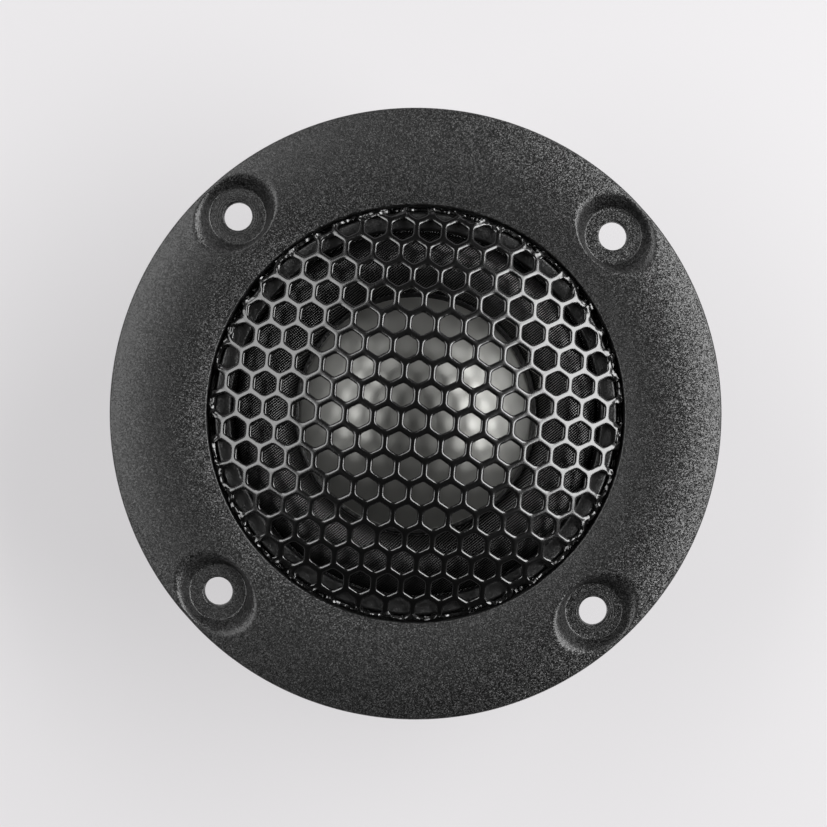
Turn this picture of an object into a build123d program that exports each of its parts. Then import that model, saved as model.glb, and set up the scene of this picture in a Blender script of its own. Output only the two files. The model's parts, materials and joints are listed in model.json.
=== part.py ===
from build123d import *
import math
import os

# Car tweeter: a metal dome under a perforated guard in a crowned round flange, with a neodymium
# motor and a sealed rear chamber behind it.
# Millimetres. +Z is the listening axis. z = 0 is the flange's back face, which seats on the panel,
# and the origin is the centre of the four mounting holes on that plane.
# Terminals are on the -Y side.

# ---------------------------------------------------------------- driving dimensions
# Faceplate: a crowned ring with a spigot behind it
flange_radius = 36.0
crest_radius = 30.5          # the crown is highest here
crest_height = 3.2
crown_arc_radius = 26.0
edge_round = 0.35
edge_chamfer = 0.25          # at the flange's back edge
aperture_radius = 24.6
aperture_round = 0.18
ledge_height = 0.7           # underside of the ledge that holds the clamp ring down
pocket_radius = 25.1
spigot_radius = 28.5

# Mounting holes in the flange
mounting_circle_radius = 31.45
mounting_hole_radius = 1.7
mounting_angles = (45, 135, 225, 315)
recess_floor_height = 1.3
recess_floor_radius = 3.35
recess_mouth_height = 3.3    # the recess opens to an oval at this height
recess_mouth_radial = 4.15   # half-widths of the oval
recess_mouth_sideways = 5.1
recess_mouth_offset = 0.25   # outwards from the hole's axis

# Perforated guard
guard_apex_height = 7.9
guard_dome_radius = 56.0
guard_thickness = 0.5
guard_skirt_radius = 24.45
guard_bend_radius = 0.75
guard_hole_pitch = 3.22
guard_hole_across_flats = 2.42
guard_pattern_turn = -1.75   # degrees, the sheet's rows against the flange's holes
guard_pattern_shift = (-0.07, -0.75)
guard_last_hole_radius = 23.8
guard_solid_band = 1.5       # plain band at the skirt's foot

# Clamp ring over the surround's outer flange
clamp_inner_radius = 21.8
clamp_lip_outer_radius = 23.7
clamp_lip_height = 2.0
clamp_lip_inner_height = 1.75
clamp_lip_chamfer = 0.2

# Diaphragm
dome_edge_radius = 13.75
dome_height = 5.45
dome_wall = 0.12
dome_rim_radius = 14.45
surround_thickness = 0.2
surround_inner_radius = 13.85
roll_inner_radius = 14.5
roll_outer_radius = 21.6
roll_height = 2.4
bead_height = 0.15
bead_inset = 0.05            # from the surround's edge and from the roll
bead_slope = 0.1             # how far each side leans in

# Voice coil
former_inner_radius = 13.75
former_wall = 0.12
former_bottom = -4.3
winding_thickness = 0.33
winding_top = -2.1
winding_bottom = -4.1

# Motor
top_plate_front = -1.6
top_plate_back = -4.6
top_plate_radius = 28.1
gap_outer_radius = 14.5
magnet_inner_radius = 16.8
motor_radius = 23.5
magnet_back = -9.6
yoke_back = -13.6
pole_radius = 13.3
cap_wall = 0.15
cap_skirt_bottom = -5.0
vent_radius = 4.0

# Carrier ring under the surround's outer flange
carrier_inner_radius = 21.9
carrier_outer_radius = 25.0
locating_pin_radius = 0.6
locating_pin_circle = 24.2
locating_pin_angles = (30, 150)
locating_pin_length = 1.4

# Motor screws, M2, from behind into the faceplate
motor_screw_circle = 26.6
motor_screw_angles = (0, 90, 180, 270)
motor_screw_end = 0.9
screw_radius = 1.0
screw_head_radius = 1.75
screw_head_height = 1.3
screw_head_round = 0.45
tapped_gap = 0.02            # between a thread and its hole
tapped_depth_spare = 0.2     # a blind hole goes this far past the screw's end
clearance_gap = 0.1
cut_margin = 1.0             # cutters run this far past what they cut

# Rear chamber
chamber_back = -25.5
chamber_wall = 1.5
chamber_flat = -17.5
chamber_edge_round = 0.9
gasket_thickness = 0.5
post_radius = 2.6
post_circle = 19.3
post_angles = (90, 210, 330)
post_recess_radius = 2.1
chamber_screw_end = -11.0

# Damping
pole_felt_inner_radius = 4.5
pole_felt_outer_radius = 11.5
pole_felt_top = 0.4
wadding_radius = 15.4
wadding_front = -16.0
wadding_back = -23.8
wadding_round = 1.5
vent_plug_front = -2.6
vent_plug_back = -7.0
vent_plug_gap = 0.05

# Terminals and wiring
board_width = 20.0
board_thickness = 1.6
board_top = -14.8
board_bottom = -24.4
board_corner = 0.6
terminal_offset = 5.5        # sideways from the middle of the board
terminal_base_top = -15.2
terminal_step = -18.8
terminal_tip = -24.9
terminal_stand_off = 2.1
terminal_sheet = 0.5
terminal_base_width = 3.6
blade_chamfer = 0.15
positive_tab_width = 4.8
negative_tab_width = 2.8
rivet_height = -17.5
rivet_radius = 0.75
rivet_head_radius = 1.2
rivet_outer_head = 0.5
rivet_inner_head = 0.4
rivet_head_round = 0.3
lead_angle = 12.0            # each lead leaves this far to one side of -Y
lead_radius = 0.15
lead_start_height = -0.6
lead_crest = (16.2, -0.55)   # radius and height of the lead's slack
lead_sag = (19.6, -0.95)
lead_bend = 8.0
tag_inner_radius = 22.7
tag_outer_radius = 23.9
tag_width = 1.8
wire_radius = 0.4
wire_circle = 24.4
wire_height = -1.0
wire_hole_radius = 0.6
wire_bends = [0.45, 1.2]
solder_half_width = 0.9
solder_height = 1.0
solder_round = 0.35
channel_roof = -0.35         # top of the wire channels in the carrier ring

# Worked out from the above
board_face = chamber_flat - board_thickness
terminal_face = board_face - terminal_sheet
gasket_front = yoke_back
chamber_front = yoke_back - gasket_thickness
former_outer_radius = former_inner_radius + former_wall
cap_radius = pole_radius + cap_wall
dome_radius = (dome_edge_radius ** 2 + dome_height ** 2) / (2 * dome_height)
dome_centre = dome_height - dome_radius


# ---------------------------------------------------------------- helpers
def ring(inner_radius, outer_radius, low, high):
    """A flat ring, or a disc where the inner radius is 0."""
    height = high - low
    body = Cylinder(outer_radius, height)
    if inner_radius:
        body = body - Cylinder(inner_radius, height)
    return Pos(0, 0, (low + high) / 2) * body


def turned(*edges):
    """The solid swept by a closed outline of (radius, height) edges once round the Z axis."""
    outline = make_face(Curve() + list(edges))
    return revolve(Plane.XZ * outline, Axis.Z)


def turned_polygon(*corners):
    """The same for an outline of straight lines."""
    return turned(Polyline(*corners, close=True))


def at_angle(angle, radius, shape):
    """The shape moved out along X by the radius, then turned about Z."""
    return Rot(0, 0, angle) * (Pos(radius, 0, 0) * shape)


def drilled(body, radius, circle, angles, low, high):
    """The body with a hole at each angle of a circle."""
    for angle in angles:
        body = body - at_angle(angle, circle, ring(0, radius, low, high))
    return body


def block(x_range, y_range, z_range):
    """A box between three pairs of limits."""
    size = [high - low for low, high in (x_range, y_range, z_range)]
    middle = [(high + low) / 2 for low, high in (x_range, y_range, z_range)]
    return Pos(*middle) * Box(*size)


def quarter_round(centre, radius, side=1):
    """A quarter arc above its centre, from the top to the side away from the axis (or towards it)."""
    across, up = centre
    slant = radius * math.sqrt(0.5)
    return ThreePointArc(
        (across, up + radius),
        (across + side * slant, up + slant),
        (across + side * radius, up),
    )


def sphere_height(radius, centre, offset):
    """Height of a sphere about (0, centre) at a distance from the axis."""
    return centre + math.sqrt(radius ** 2 - offset ** 2)


def crown_height(offset):
    """Height of the flange's crown at a distance from the axis."""
    return crest_height - crown_arc_radius + math.sqrt(crown_arc_radius ** 2 - (offset - crest_radius) ** 2)


def chamber_outline(inset):
    """The chamber's round outline with its flat on -Y, made smaller by the inset."""
    circle = Circle(motor_radius - inset)
    flat = chamber_flat + inset
    depth = motor_radius
    return circle - Pos(0, flat - depth / 2) * Rectangle(3 * motor_radius, depth)


def prism(sketch, low, high):
    """The sketch raised from one height to another."""
    return Pos(0, 0, low) * extrude(sketch, high - low)


def tube(points, corner_radii, radius):
    """A round wire along straight runs joined by arcs."""
    path = FilletPolyline(*points, radius=corner_radii)
    section = Plane(origin=path @ 0, z_dir=path % 0) * Circle(radius)
    return sweep(section, path)


def polar(radius, angle, height):
    """A point at a radius and an angle about Z."""
    turn = math.radians(angle)
    return (radius * math.cos(turn), radius * math.sin(turn), height)


def cross_recess(seat):
    """The driver's cross in a head that faces -Z, cut from the given height upwards."""
    blade_length = 2.1
    blade_width = 0.45
    depth = 0.7
    middle = Pos(0, 0, seat + depth / 2)
    return middle * (Box(blade_length, blade_width, depth) + Box(blade_width, blade_length, depth))


def screw(head_bottom, end):
    """A pan-head screw that points up, from its head's outer face to its end."""
    head_top = head_bottom + screw_head_height
    head = ring(0, screw_head_radius, head_bottom, head_top)
    head = fillet(head.edges().sort_by(Axis.Z)[0], screw_head_round)
    shank = ring(0, screw_radius, head_top, end)
    return head + shank - cross_recess(head_bottom)


# ---------------------------------------------------------------- front
def mounting_recess():
    """Cutter for one recess, centred on its hole: a round floor whose wall opens to an oval mouth."""
    floor = Pos(0, 0, recess_floor_height) * Circle(recess_floor_radius)
    oval = Ellipse(recess_mouth_radial, recess_mouth_sideways)
    mouth = Pos(recess_mouth_offset, 0, recess_mouth_height) * oval
    return loft([floor, mouth], ruled=True)


def faceplate():
    """Crowned flange, recessed mounting holes, and the spigot that fits the panel's cut-out."""
    inner_start = aperture_radius + aperture_round
    outer_start = flange_radius - edge_round
    inner_top = crown_height(inner_start)
    outer_top = crown_height(outer_start)
    back = Polyline(
        (flange_radius, outer_top - edge_round),
        (flange_radius, edge_chamfer),
        (flange_radius - edge_chamfer, 0),
        (spigot_radius, 0),
        (spigot_radius, top_plate_front),
        (pocket_radius, top_plate_front),
        (pocket_radius, ledge_height),
        (aperture_radius, ledge_height),
        (aperture_radius, inner_top - aperture_round),
    )
    body = turned(
        ThreePointArc((inner_start, inner_top), (crest_radius, crest_height), (outer_start, outer_top)),
        quarter_round((outer_start, outer_top - edge_round), edge_round),
        back,
        quarter_round((inner_start, inner_top - aperture_round), aperture_round, side=-1),
    )
    recess = mounting_recess()
    for angle in mounting_angles:
        body = body - at_angle(angle, mounting_circle_radius, recess)
    low = -cut_margin
    body = drilled(body, mounting_hole_radius, mounting_circle_radius, mounting_angles, low, crest_height)
    thread = screw_radius + tapped_gap
    low = top_plate_front - cut_margin
    high = motor_screw_end + tapped_depth_spare
    return drilled(body, thread, motor_screw_circle, motor_screw_angles, low, high)


def front_grille():
    """Domed steel guard with hexagonal holes and a turned-down skirt."""
    centre = guard_apex_height - guard_dome_radius
    inner_sphere = guard_dome_radius - guard_thickness
    bend_start = guard_skirt_radius - guard_bend_radius
    bend_top = sphere_height(guard_dome_radius, centre, bend_start)
    bend_centre = (bend_start, bend_top - guard_bend_radius)
    inner_bend_radius = sphere_height(inner_sphere, centre, bend_start) - bend_centre[1]
    skirt_inner_radius = bend_start + inner_bend_radius
    half = bend_start / 2
    foot = ledge_height
    shell = turned(
        ThreePointArc(
            (0, guard_apex_height),
            (half, sphere_height(guard_dome_radius, centre, half)),
            (bend_start, bend_top),
        ),
        quarter_round(bend_centre, guard_bend_radius),
        Polyline(
            (guard_skirt_radius, bend_centre[1]),
            (guard_skirt_radius, foot),
            (skirt_inner_radius, foot),
            (skirt_inner_radius, bend_centre[1]),
        ),
        quarter_round(bend_centre, inner_bend_radius),
        ThreePointArc(
            (bend_start, bend_centre[1] + inner_bend_radius),
            (half, sphere_height(inner_sphere, centre, half)),
            (0, guard_apex_height - guard_thickness),
        ),
        Line((0, guard_apex_height - guard_thickness), (0, guard_apex_height)),
    )
    corner_radius = guard_hole_across_flats / math.sqrt(3)
    row_step = guard_hole_pitch * math.sqrt(3) / 2
    reach = int(guard_last_hole_radius / row_step) + 1
    places = []
    for row in range(-reach, reach + 1):
        for column in range(-reach - 1, reach + 2):
            across = (column + 0.5 * (row % 2)) * guard_hole_pitch + guard_pattern_shift[0]
            up = row * row_step + guard_pattern_shift[1]
            if math.hypot(across, up) < guard_last_hole_radius:
                places.append((across, up))
    hexagon = RegularPolygon(corner_radius, 6, rotation=30)
    holes = Sketch() + [Pos(*place) * hexagon for place in places]
    cutter = prism(holes, foot + guard_solid_band, guard_apex_height + cut_margin)
    return shell - Rot(0, 0, guard_pattern_turn) * cutter


def surround_clamp_ring():
    """Moulded ring that clamps the surround's outer flange and shows as a smooth lip inside the guard."""
    return turned_polygon(
        (clamp_inner_radius, surround_thickness),
        (carrier_outer_radius, surround_thickness),
        (carrier_outer_radius, ledge_height),
        (clamp_lip_outer_radius, ledge_height),
        (clamp_lip_outer_radius, clamp_lip_height - clamp_lip_chamfer),
        (clamp_lip_outer_radius - clamp_lip_chamfer, clamp_lip_height),
        (clamp_inner_radius + clamp_lip_chamfer, clamp_lip_inner_height),
        (clamp_inner_radius, clamp_lip_inner_height - clamp_lip_chamfer),
    )


# ---------------------------------------------------------------- diaphragm
def dome():
    """Spherical metal dome with a narrow flat rim."""
    inner_radius = dome_radius - dome_wall
    inner_foot = math.sqrt(inner_radius ** 2 - (dome_wall + dome_centre) ** 2)
    half = dome_edge_radius / 2
    return turned(
        ThreePointArc(
            (0, dome_height),
            (half, sphere_height(dome_radius, dome_centre, half)),
            (dome_edge_radius, 0),
        ),
        Polyline(
            (dome_edge_radius, 0),
            (dome_rim_radius, 0),
            (dome_rim_radius, -dome_wall),
            (inner_foot, -dome_wall),
        ),
        ThreePointArc(
            (inner_foot, -dome_wall),
            (half, sphere_height(inner_radius, dome_centre, half)),
            (0, dome_height - dome_wall),
        ),
        Line((0, dome_height - dome_wall), (0, dome_height)),
    )


def surround():
    """Woven half-roll between the dome's rim and the clamped outer flange."""
    middle = (roll_inner_radius + roll_outer_radius) / 2
    top = surround_thickness
    inner_foot = roll_inner_radius + surround_thickness
    outer_foot = roll_outer_radius - surround_thickness
    return turned(
        Polyline(
            (roll_inner_radius, top),
            (surround_inner_radius, top),
            (surround_inner_radius, 0),
            (inner_foot, 0),
        ),
        ThreePointArc((inner_foot, 0), (middle, roll_height - surround_thickness), (outer_foot, 0)),
        Polyline(
            (outer_foot, 0),
            (carrier_outer_radius, 0),
            (carrier_outer_radius, top),
            (roll_outer_radius, top),
        ),
        ThreePointArc((roll_outer_radius, top), (middle, roll_height), (roll_inner_radius, top)),
    )


def dome_glue_bead():
    """Bead of adhesive over the surround's inner edge, with leaning sides."""
    inner = surround_inner_radius + bead_inset
    outer = roll_inner_radius - bead_inset
    low = surround_thickness
    return turned_polygon(
        (inner, low),
        (outer, low),
        (outer - bead_slope, low + bead_height),
        (inner + bead_slope, low + bead_height),
    )


def voice_coil_former():
    """Aluminium tube that joins the dome to the winding."""
    return ring(former_inner_radius, former_outer_radius, former_bottom, -dome_wall)


def voice_coil_winding():
    """Copper-clad wire wound on the former, in the magnetic gap."""
    return ring(former_outer_radius, former_outer_radius + winding_thickness, winding_bottom, winding_top)


def lead_wire(angle):
    """Tinsel lead from the former to its solder tag, with slack for the dome's travel."""
    points = [
        polar(former_outer_radius, angle, lead_start_height),
        polar(lead_crest[0], angle, lead_crest[1]),
        polar(lead_sag[0], angle, lead_sag[1]),
        polar(tag_inner_radius, angle, wire_height),
    ]
    return tube(points, [lead_bend, lead_bend], lead_radius)


def diaphragm_carrier_ring():
    """Moulded ring that the surround is bonded to, with locating pins and two wire channels."""
    body = ring(carrier_inner_radius, carrier_outer_radius, top_plate_front, 0)
    for angle in locating_pin_angles:
        pin = ring(0, locating_pin_radius, top_plate_front - locating_pin_length, top_plate_front)
        body = body + at_angle(angle, locating_pin_circle, pin)
    half_channel = tag_width / 2 + clearance_gap
    channel = block(
        (carrier_inner_radius - cut_margin, carrier_outer_radius + cut_margin),
        (-half_channel, half_channel),
        (top_plate_front - cut_margin, channel_roof),
    )
    for angle in (270 - lead_angle, 270 + lead_angle):
        body = body - Rot(0, 0, angle) * channel
    return body


def lead_solder_tags():
    """Two brass tags in the carrier ring, where each lead meets its internal wire."""
    half = tag_width / 2
    tag = block(
        (tag_inner_radius, tag_outer_radius),
        (-half, half),
        (wire_height - wire_radius, wire_height + wire_radius),
    )
    return Compound([Rot(0, 0, angle) * tag for angle in (270 - lead_angle, 270 + lead_angle)])


# ---------------------------------------------------------------- motor
def top_plate():
    """Steel plate round the magnetic gap, screwed to the faceplate."""
    body = ring(gap_outer_radius, top_plate_radius, top_plate_back, top_plate_front)
    low = top_plate_back - cut_margin
    body = drilled(body, screw_radius + clearance_gap, motor_screw_circle, motor_screw_angles, low, 0)
    pin_hole = locating_pin_radius + clearance_gap
    body = drilled(body, pin_hole, locating_pin_circle, locating_pin_angles, low, 0)
    return drilled(body, wire_hole_radius, wire_circle, (270 - lead_angle, 270 + lead_angle), low, 0)


def ring_magnet():
    """Neodymium ring magnet between the two plates."""
    return ring(magnet_inner_radius, motor_radius, magnet_back, top_plate_back)


def yoke():
    """Steel back plate and vented pole in one piece."""
    pole_top = top_plate_front - cap_wall
    body = turned_polygon(
        (vent_radius, yoke_back),
        (motor_radius, yoke_back),
        (motor_radius, magnet_back),
        (pole_radius, magnet_back),
        (pole_radius, pole_top),
        (vent_radius, pole_top),
    )
    thread = screw_radius + tapped_gap
    low = yoke_back - cut_margin
    return drilled(body, thread, post_circle, post_angles, low, chamber_screw_end + tapped_depth_spare)


def pole_copper_cap():
    """Thin copper cap on the pole, which steadies the voice coil's inductance."""
    return turned_polygon(
        (vent_radius, top_plate_front - cap_wall),
        (pole_radius, top_plate_front - cap_wall),
        (pole_radius, cap_skirt_bottom),
        (cap_radius, cap_skirt_bottom),
        (cap_radius, top_plate_front),
        (vent_radius, top_plate_front),
    )


def pole_felt_pad():
    """Felt ring on the pole, under the dome."""
    return ring(pole_felt_inner_radius, pole_felt_outer_radius, top_plate_front, pole_felt_top)


def vent_felt_plug():
    """Felt plug in the pole's vent."""
    return ring(0, vent_radius - vent_plug_gap, vent_plug_back, vent_plug_front)


def motor_screws():
    """Four screws that hold the top plate to the faceplate."""
    one = screw(top_plate_back - screw_head_height, motor_screw_end)
    return Compound([at_angle(angle, motor_screw_circle, one) for angle in motor_screw_angles])


# ---------------------------------------------------------------- rear chamber
def rear_chamber():
    """Moulded cup that closes the space behind the dome, with a flat for the terminal board."""
    shell = prism(chamber_outline(0), chamber_back, chamber_front)
    shell = fillet(shell.edges().filter_by(GeomType.CIRCLE).sort_by(Axis.Z)[0], chamber_edge_round)
    inner_floor = chamber_back + chamber_wall
    shell = shell - prism(chamber_outline(chamber_wall), inner_floor, chamber_front)
    for angle in post_angles:
        post = ring(0, post_radius, inner_floor - chamber_wall / 2, yoke_back)
        shell = shell + at_angle(angle, post_circle, post)
    low = chamber_back - cut_margin
    high = yoke_back + cut_margin
    shell = drilled(shell, screw_radius + clearance_gap, post_circle, post_angles, low, high)
    shell = drilled(shell, post_recess_radius, post_circle, post_angles, low, inner_floor)
    for side in (-1, 1):
        shell = shell - rivet_hole(side)
    return shell


def chamber_gasket():
    """Foam gasket between the chamber's edge and the yoke."""
    return prism(chamber_outline(0) - chamber_outline(chamber_wall), chamber_front, gasket_front)


def chamber_wadding():
    """Damping pad in the rear chamber."""
    pad = ring(0, wadding_radius, wadding_back, wadding_front)
    return fillet(pad.edges().filter_by(GeomType.CIRCLE), wadding_round)


def chamber_screws():
    """Three screws that hold the chamber to the yoke."""
    head_bottom = chamber_back + chamber_wall - screw_head_height
    one = screw(head_bottom, chamber_screw_end)
    return Compound([at_angle(angle, post_circle, one) for angle in post_angles])


# ---------------------------------------------------------------- terminals and wiring
def rivet_hole(side):
    """Hole along Y for one of the two terminal rivets."""
    length = 8 * chamber_wall
    middle = Pos(side * terminal_offset, chamber_flat, rivet_height)
    return middle * Rot(90, 0, 0) * Cylinder(rivet_radius + tapped_gap, length)


def terminal_board():
    """Laminate board on the chamber's flat."""
    half = board_width / 2
    board = block((-half, half), (board_face, chamber_flat), (board_bottom, board_top))
    board = fillet(board.edges().filter_by(Axis.Y), board_corner)
    for side in (-1, 1):
        board = board - rivet_hole(side)
    return board


def terminal(side, width):
    """Brass push-on tab: a riveted base, a step away from the board, and the blade."""
    out = terminal_face - terminal_stand_off
    base_half = terminal_base_width / 2
    half = width / 2
    base = block((-base_half, base_half), (terminal_face, board_face), (terminal_step, terminal_base_top))
    step_back = terminal_step - terminal_sheet
    step = block((-half, half), (out - terminal_sheet, board_face), (step_back, terminal_step))
    blade = block((-half, half), (out - terminal_sheet, out), (terminal_tip, terminal_step))
    blade = chamfer(blade.edges().filter_by(Axis.X).group_by(Axis.Z)[0], blade_chamfer)
    return Pos(side * terminal_offset, 0, 0) * (base + step + blade) - rivet_hole(side)


def terminal_rivets():
    """Two rivets through the tabs, the board and the chamber's wall."""
    inner_wall = chamber_flat + chamber_wall
    rivets = []
    for side in (-1, 1):
        turn = Pos(side * terminal_offset, 0, rivet_height) * Rot(90, 0, 0)
        shank = ring(0, rivet_radius, -inner_wall, -terminal_face)
        outer_head = ring(0, rivet_head_radius, -terminal_face, -terminal_face + rivet_outer_head)
        outer_head = fillet(outer_head.edges().sort_by(Axis.Z)[-1], rivet_head_round)
        inner_head = ring(0, rivet_head_radius, -inner_wall - rivet_inner_head, -inner_wall)
        rivets.append(turn * (shank + outer_head + inner_head))
    return Compound(rivets)


def internal_wire(side):
    """Insulated wire from a solder tag, through the top plate and down to its terminal."""
    angle = 270 + side * lead_angle
    end = (side * terminal_offset, terminal_face - wire_radius, terminal_base_top - solder_height / 2)
    points = [
        polar(tag_outer_radius, angle, wire_height),
        polar(wire_circle, angle, wire_height),
        polar(wire_circle, angle, chamber_front - gasket_thickness),
        end,
    ]
    return tube(points, wire_bends, wire_radius)


def terminal_solder_joints():
    """Solder that fixes each wire's end to its terminal."""
    joints = []
    for side in (-1, 1):
        low = terminal_base_top - solder_height
        half = solder_half_width
        joint = block((-half, half), (terminal_face - half, terminal_face), (low, terminal_base_top))
        joint = fillet(joint.edges().filter_by(Axis.Z).group_by(Axis.Y)[0], solder_round)
        joints.append(Pos(side * terminal_offset, 0, 0) * joint - internal_wire(side))
    return Compound(joints)


# ---------------------------------------------------------------- export
def write_parts():
    """One STEP file for each piece, named after its node."""
    parts = {
        "faceplate": faceplate(),
        "front_grille": front_grille(),
        "surround_clamp_ring": surround_clamp_ring(),
        "dome": dome(),
        "surround": surround(),
        "dome_glue_bead": dome_glue_bead(),
        "voice_coil_former": voice_coil_former(),
        "voice_coil_winding": voice_coil_winding(),
        "lead_wire_positive": lead_wire(270 - lead_angle),
        "lead_wire_negative": lead_wire(270 + lead_angle),
        "diaphragm_carrier_ring": diaphragm_carrier_ring(),
        "lead_solder_tags": lead_solder_tags(),
        "top_plate": top_plate(),
        "ring_magnet": ring_magnet(),
        "yoke": yoke(),
        "pole_copper_cap": pole_copper_cap(),
        "pole_felt_pad": pole_felt_pad(),
        "vent_felt_plug": vent_felt_plug(),
        "motor_screws": motor_screws(),
        "rear_chamber": rear_chamber(),
        "chamber_gasket": chamber_gasket(),
        "chamber_wadding": chamber_wadding(),
        "chamber_screws": chamber_screws(),
        "terminal_board": terminal_board(),
        "positive_terminal": terminal(-1, positive_tab_width),
        "negative_terminal": terminal(1, negative_tab_width),
        "terminal_rivets": terminal_rivets(),
        "internal_wire_positive": internal_wire(-1),
        "internal_wire_negative": internal_wire(1),
        "terminal_solder_joints": terminal_solder_joints(),
    }
    os.makedirs("parts", exist_ok=True)
    for name, shape in parts.items():
        export_step(shape, f"parts/{name}.step")


write_parts()
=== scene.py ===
import json
import math

import bmesh
import bpy
import numpy as np
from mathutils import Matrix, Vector


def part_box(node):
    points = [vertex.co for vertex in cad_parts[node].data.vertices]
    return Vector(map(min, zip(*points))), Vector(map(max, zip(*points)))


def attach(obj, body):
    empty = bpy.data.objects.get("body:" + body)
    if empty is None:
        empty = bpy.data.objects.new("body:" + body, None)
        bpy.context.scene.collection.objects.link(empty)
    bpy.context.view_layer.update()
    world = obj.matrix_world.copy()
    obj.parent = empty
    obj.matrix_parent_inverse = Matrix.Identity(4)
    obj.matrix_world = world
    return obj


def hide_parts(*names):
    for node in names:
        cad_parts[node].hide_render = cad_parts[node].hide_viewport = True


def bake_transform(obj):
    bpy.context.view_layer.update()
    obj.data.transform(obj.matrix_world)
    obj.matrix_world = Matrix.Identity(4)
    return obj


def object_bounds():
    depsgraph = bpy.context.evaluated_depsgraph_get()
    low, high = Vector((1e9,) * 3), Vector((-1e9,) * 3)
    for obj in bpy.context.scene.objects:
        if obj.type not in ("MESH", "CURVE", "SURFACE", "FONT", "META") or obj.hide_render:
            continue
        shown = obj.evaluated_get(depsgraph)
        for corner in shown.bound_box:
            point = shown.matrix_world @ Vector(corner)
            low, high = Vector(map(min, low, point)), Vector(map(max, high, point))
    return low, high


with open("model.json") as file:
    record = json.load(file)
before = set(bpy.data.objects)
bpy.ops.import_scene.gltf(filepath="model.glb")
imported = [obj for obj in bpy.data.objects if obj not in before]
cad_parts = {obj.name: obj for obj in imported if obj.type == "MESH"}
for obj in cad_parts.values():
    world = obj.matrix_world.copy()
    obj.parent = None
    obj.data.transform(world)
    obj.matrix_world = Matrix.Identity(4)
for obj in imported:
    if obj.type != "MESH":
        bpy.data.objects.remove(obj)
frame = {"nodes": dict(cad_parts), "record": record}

# Car tweeter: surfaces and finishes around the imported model. Sizes in the functions are
# millimetres and become metres in mesh_piece. +Z is the listening axis, z = 0 the flange's back.

MM = 0.001
CAD_BOX = [list(corner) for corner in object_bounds()]


def high(node):
    """Highest corner of a node, in millimetres."""
    return np.array(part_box(node)[1]) / MM


def low(node):
    """Lowest corner of a node, in millimetres."""
    return np.array(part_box(node)[0]) / MM


# ---------------------------------------------------------------- driving dimensions
FLANGE_RADIUS = high("faceplate")[0]
CREST_HEIGHT = high("faceplate")[2]
SPIGOT_FOOT = low("faceplate")[2]
CREST_RADIUS = 30.5
CROWN_ARC = 26.0
EDGE_ROUND = 0.35
EDGE_CHAMFER = 0.25
SPIGOT_CHAMFER = 0.15
APERTURE_RADIUS = 24.6
APERTURE_ROUND = 0.18
SPIGOT_RADIUS = 28.5
POCKET_RADIUS = 25.1
LEDGE_HEIGHT = 0.7
MOUNT = next(m for m in frame["record"]["mounts"] if m["name"] == "mounting_screws")["dims"]
MOUNT_CIRCLE = MOUNT["pcd_mm"] / 2
MOUNT_HOLE = MOUNT["hole_r_mm"]
MOUNT_ANGLES = (45, 135, 225, 315)
RECESS_FLOOR = 1.3
RECESS_RADIUS = 3.35
MOUTH_HEIGHT = 3.3
MOUTH_OFFSET = 0.25
MOUTH_RADIAL = 4.15
MOUTH_SIDEWAYS = 5.1
FLOOR_CORNER = 0.1           # rounding where a recess floor meets its wall
MOUTH_ROUND = 0.8            # rounding where the wall meets the crown
HOLE_CHAMFER = 0.1
HOLE_CHAMFER_WIDTH = 0.12

GUARD_APEX = high("front_grille")[2]
GUARD_FOOT = low("front_grille")[2]
GUARD_SKIRT = 24.45
GUARD_DOME = 56.0
GUARD_BEND = 0.75
GUARD_SHEET = 0.5
HOLE_PITCH = 3.221
HOLE_FLATS = 2.42
HOLE_CORNER = 0.42
DRAW_IN = 0.0024             # share by which forming pulls the sheet in at its edge
RIM_WIDTH = 0.31             # the rolled rim round each hole
RIM_DROP = 0.2
CUT_BAND = 0.28              # the sheet's ragged edge is pressed into this width
CRUMPLE_START = 23.2
CRUMPLE_SPREAD = 0.8
CRUMPLE_SIDEWAYS = 0.08
CRUMPLE_UP = 0.1
PATTERN_TURN = math.radians(-1.75)
PATTERN_SHIFT = (-0.07, -0.75)

DOME_EDGE = 13.75
DOME_HEIGHT = high("dome")[2]
DOME_RIM = high("dome")[0]
DOME_WALL = 0.12
ROLL_INNER = 14.5
ROLL_OUTER = 21.6
ROLL_HEIGHT = high("surround")[2]
CLOTH = 0.2
CLAMP_INNER = 21.8
CLAMP_LIP = 23.7
LEAD_ANGLE = 12.0
LEAD_RADIUS = 0.15
CHAMBER_WALL = 1.5


# ---------------------------------------------------------------- meshes
def grid_faces(rows, columns, close_rows=False, close_columns=False):
    """Quads of a grid of points numbered row by row, joined to its start where it closes."""
    row = np.arange(rows if close_rows else rows - 1)[:, None]
    column = np.arange(columns if close_columns else columns - 1)[None, :]
    next_row = (row + 1) % rows
    next_column = (column + 1) % columns
    corners = (row * columns + column, row * columns + next_column,
               next_row * columns + next_column, next_row * columns + column)
    return np.stack([np.broadcast_to(c, (len(row), column.shape[1])) for c in corners], -1).reshape(-1, 4)


def joined(parts):
    """Several (points, faces) pairs as one."""
    points, faces, start = [], [], 0
    for part_points, part_faces in parts:
        points.append(part_points.reshape(-1, 3))
        faces.append(part_faces + start)
        start += len(points[-1])
    return np.concatenate(points), np.concatenate(faces)


def mesh_piece(name, points, faces, material, body, slot, replaces, sharp=35.0):
    """A closed piece from points in millimetres: seams merged, faces outward, edges over the angle sharp."""
    mesh = bpy.data.meshes.new(name)
    mesh.from_pydata((points.reshape(-1, 3) * MM).tolist(), [], faces.tolist())
    return finished(name, mesh, material, body, replaces, sharp)


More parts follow.
